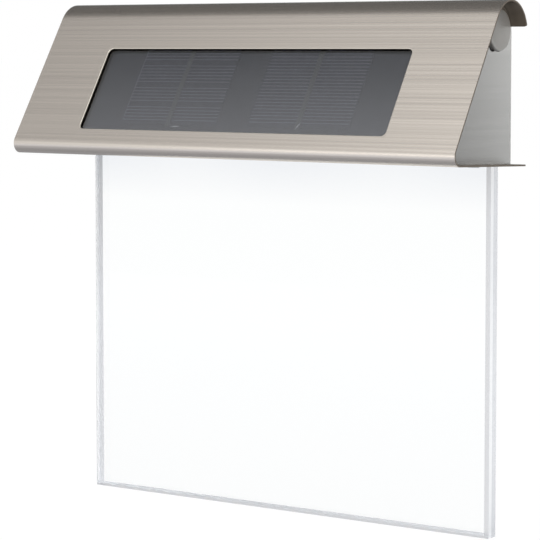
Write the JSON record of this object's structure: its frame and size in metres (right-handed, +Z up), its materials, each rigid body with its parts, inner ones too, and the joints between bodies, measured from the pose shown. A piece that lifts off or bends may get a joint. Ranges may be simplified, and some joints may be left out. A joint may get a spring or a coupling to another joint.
{
  "type": "solar sign light",
  "caption": "Wall-hung solar sign light: folded stainless hood with a windowed solar panel over a clear edge-lit plate, battery drawer in one end.",
  "frame": {"origin": "on the wall face of the back plate, midway between the two keyholes' entry holes", "axes": "+X along the hood to the viewer's right, +Y into the wall, +Z up; the front faces -Y"},
  "size_m": [0.26, 0.0696, 0.257],
  "materials": {
    "brushed_stainless": "brushed",
    "plated_steel": "satin",
    "black_foam": "matte",
    "tinted_pane": "gloss",
    "silicon_cell": "gloss",
    "tinned_copper": "satin",
    "spring_steel": "satin",
    "black_moulding": "matte",
    "grey_moulding": "satin",
    "white_moulding": "satin",
    "circuit_board": "satin",
    "cell_board": "satin",
    "led_board": "satin",
    "led_package": "gloss",
    "aluminium_rail": "satin",
    "clear_acrylic": "gloss",
    "cell_wrap": "gloss",
    "ferrite": "matte",
    "capacitor_can": "satin",
    "switch_case": "satin",
    "red_wire": "satin",
    "black_wire": "satin"
  },
  "bodies": {
    "light_body": {"back_chassis": "brushed_stainless", "battery_socket": "white_moulding", "battery_tube": "black_moulding", "battery_wire_minus": "black_wire", "battery_wire_plus": "red_wire", "board_screws": "plated_steel", "board_standoffs": "plated_steel", "capacitor": "capacitor_can", "cell_board": "cell_board", "cell_ribbons": "tinned_copper", "clamp_nuts": "plated_steel", "clamp_screws": "plated_steel", "control_board": "circuit_board", "controller_chip": "black_moulding", "hood": "brushed_stainless", "hood_screws": "plated_steel", "inductor": "ferrite", "led_board": "led_board", "led_board_screws": "plated_steel", "led_left": "led_package", "led_right": "led_package", "led_socket": "white_moulding", "led_wire_minus": "black_wire", "led_wire_plus": "red_wire", "light_rail": "aluminium_rail", "pane_gasket": "black_foam", "panel_nuts": "plated_steel", "panel_socket": "white_moulding", "panel_tray": "black_moulding", "panel_wire_minus": "black_wire", "panel_wire_plus": "red_wire", "plate_pad_front": "black_foam", "plate_pad_rear": "black_foam", "rail_nuts": "plated_steel", "side_contact": "spring_steel", "sign_plate": "clear_acrylic", "slot_gasket": "black_foam", "solar_cell_left": "silicon_cell", "solar_cell_right": "silicon_cell", "solar_pane": "tinted_pane", "switch_body": "switch_case", "tail_contact": "spring_steel", "tube_nuts": "plated_steel"},
    "battery_drawer": {"battery_plug": "grey_moulding", "plug_o_ring": "black_foam", "cell_cradle": "black_moulding", "drawer_strip": "spring_steel", "battery_cell": "cell_wrap"},
    "switch_slider": {"switch_knob": "black_moulding"}
  },
  "joints": [
    {"name": "battery_drawer_slide", "type": "slide", "parent": "light_body", "child": "battery_drawer", "axis": [1, 0, 0], "range_m": [0, 0.06]},
    {"name": "switch_slide", "type": "slide", "parent": "light_body", "child": "switch_slider", "axis": [1, 0, 0], "range_m": [0, 0.003]}
  ]
}
